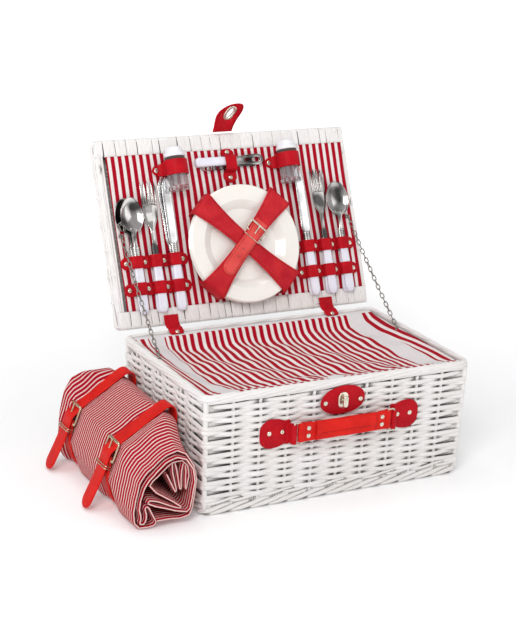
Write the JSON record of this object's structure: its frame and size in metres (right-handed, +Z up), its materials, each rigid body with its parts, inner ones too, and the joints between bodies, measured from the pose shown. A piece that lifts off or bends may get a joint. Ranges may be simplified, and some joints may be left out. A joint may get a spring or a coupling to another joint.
{
  "type": "wicker picnic basket",
  "caption": "Open wicker picnic basket with a chained lid holding strapped crockery and cutlery, a cloth-lined compartment, a front handle and a belted blanket roll.",
  "frame": {"origin": "middle of the underside of the basket body, on the surface it stands on", "axes": "+X along the basket to its right-hand end, -Y to the front with the handle and clasp, +Z up"},
  "size_m": [0.6021, 0.4755, 0.526],
  "materials": {
    "wicker": "painted",
    "liner_cloth": "matte",
    "striped_cloth": "matte",
    "blanket_cloth": "matte",
    "red_leather": "satin",
    "rivet_nickel": "polished",
    "buckle_brass": "polished",
    "plate_white": "gloss",
    "steel": "polished",
    "handle_white": "gloss",
    "shaker_glass": "clear",
    "chain_steel": "dull"
  },
  "bodies": {
    "basket": {"back_wall": "wicker", "basket_chain_eyes": "chain_steel", "belt_buckles": "buckle_brass", "belt_keepers": "buckle_brass", "blanket": "blanket_cloth", "blanket_belts": "red_leather", "bottom_border": "wicker", "bottom_panel": "wicker", "clasp_patch": "red_leather", "clasp_plate": "rivet_nickel", "corner_posts": "wicker", "front_rivets": "rivet_nickel", "front_wall": "wicker", "handle_folds": "red_leather", "handle_patches": "red_leather", "hinge_straps": "red_leather", "left_chain": "chain_steel", "left_wall": "wicker", "liner": "liner_cloth", "liner_cover": "striped_cloth", "right_chain": "chain_steel", "right_wall": "wicker", "rim_rails": "wicker"},
    "lid": {"lid_border": "wicker", "lid_side_weave": "wicker", "lid_woven_panel": "wicker", "lid_lining": "striped_cloth", "plate_1": "plate_white", "plate_2": "plate_white", "plate_3": "plate_white", "plate_4": "plate_white", "plate_strap_plain": "red_leather", "plate_strap_buckled": "red_leather", "plate_strap_buckle": "rivet_nickel", "plate_strap_keeper": "red_leather", "knives": "steel", "forks": "steel", "spoons": "steel", "cutlery_ferrules": "steel", "cutlery_handles": "handle_white", "cutlery_bands": "red_leather", "lid_rivets": "rivet_nickel", "shaker_jars": "shaker_glass", "shaker_straps": "red_leather", "corkscrew_handle": "handle_white", "corkscrew_lever": "steel", "corkscrew_worm": "steel", "corkscrew_strap": "red_leather", "lid_chain_eyes": "chain_steel"},
    "tongue": {"lid_tongue": "red_leather", "tongue_eyelet": "rivet_nickel"},
    "turn_lock": {"turn_lock_knob": "rivet_nickel"},
    "handle": {"handle_grip": "red_leather", "handle_rings": "rivet_nickel", "handle_grip_rivets": "rivet_nickel"},
    "strap_prong": {"plate_strap_prong": "rivet_nickel"},
    "front_prong": {"front_belt_prong": "buckle_brass"},
    "back_prong": {"back_belt_prong": "buckle_brass"},
    "left_cap": {"left_shaker_cap": "handle_white"},
    "right_cap": {"right_shaker_cap": "handle_white"}
  },
  "joints": [
    {"name": "lid_hinge", "type": "hinge", "parent": "basket", "child": "lid", "pos_m": [0, 0.155, 0.1915], "axis": [1, 0, 0], "range_deg": [0, 114], "deforming": ["left_chain", "right_chain", "hinge_straps", "liner_cover"]},
    {"name": "tongue_fold", "type": "hinge", "parent": "lid", "child": "tongue", "pos_m": [0, 0.28661, 0.47334], "axis": [1, 0, 0], "range_deg": [-50, 40]},
    {"name": "turn_lock_turn", "type": "hinge", "parent": "basket", "child": "turn_lock", "pos_m": [0, -0.15629, 0.15683], "axis": [0, -0.9998, -0.021], "range_deg": [0, 90]},
    {"name": "handle_swing", "type": "hinge", "parent": "basket", "child": "handle", "pos_m": [0, -0.15148, 0.11792], "axis": [1, 0, 0], "range_deg": [-25, 25], "deforming": ["handle_folds"]},
    {"name": "strap_prong_turn", "type": "hinge", "parent": "lid", "child": "strap_prong", "pos_m": [0.01308, 0.17871, 0.32662], "axis": [0.7071, -0.2876, -0.646], "range_deg": [0, 60]},
    {"name": "front_prong_turn", "type": "hinge", "parent": "basket", "child": "front_prong", "pos_m": [-0.33747, -0.052, 0.07686], "axis": [0, -1, 0], "range_deg": [0, 60]},
    {"name": "back_prong_turn", "type": "hinge", "parent": "basket", "child": "back_prong", "pos_m": [-0.33747, 0.102, 0.07686], "axis": [0, -1, 0], "range_deg": [0, 60]},
    {"name": "left_cap_turn", "type": "hinge", "parent": "lid", "child": "left_cap", "pos_m": [-0.1025, 0.25185, 0.45378], "axis": [0, 0.4067, 0.9135], "range_deg": [0, 120]},
    {"name": "right_cap_turn", "type": "hinge", "parent": "lid", "child": "right_cap", "pos_m": [0.1025, 0.25185, 0.45378], "axis": [0, 0.4067, 0.9135], "range_deg": [0, 120]}
  ]
}
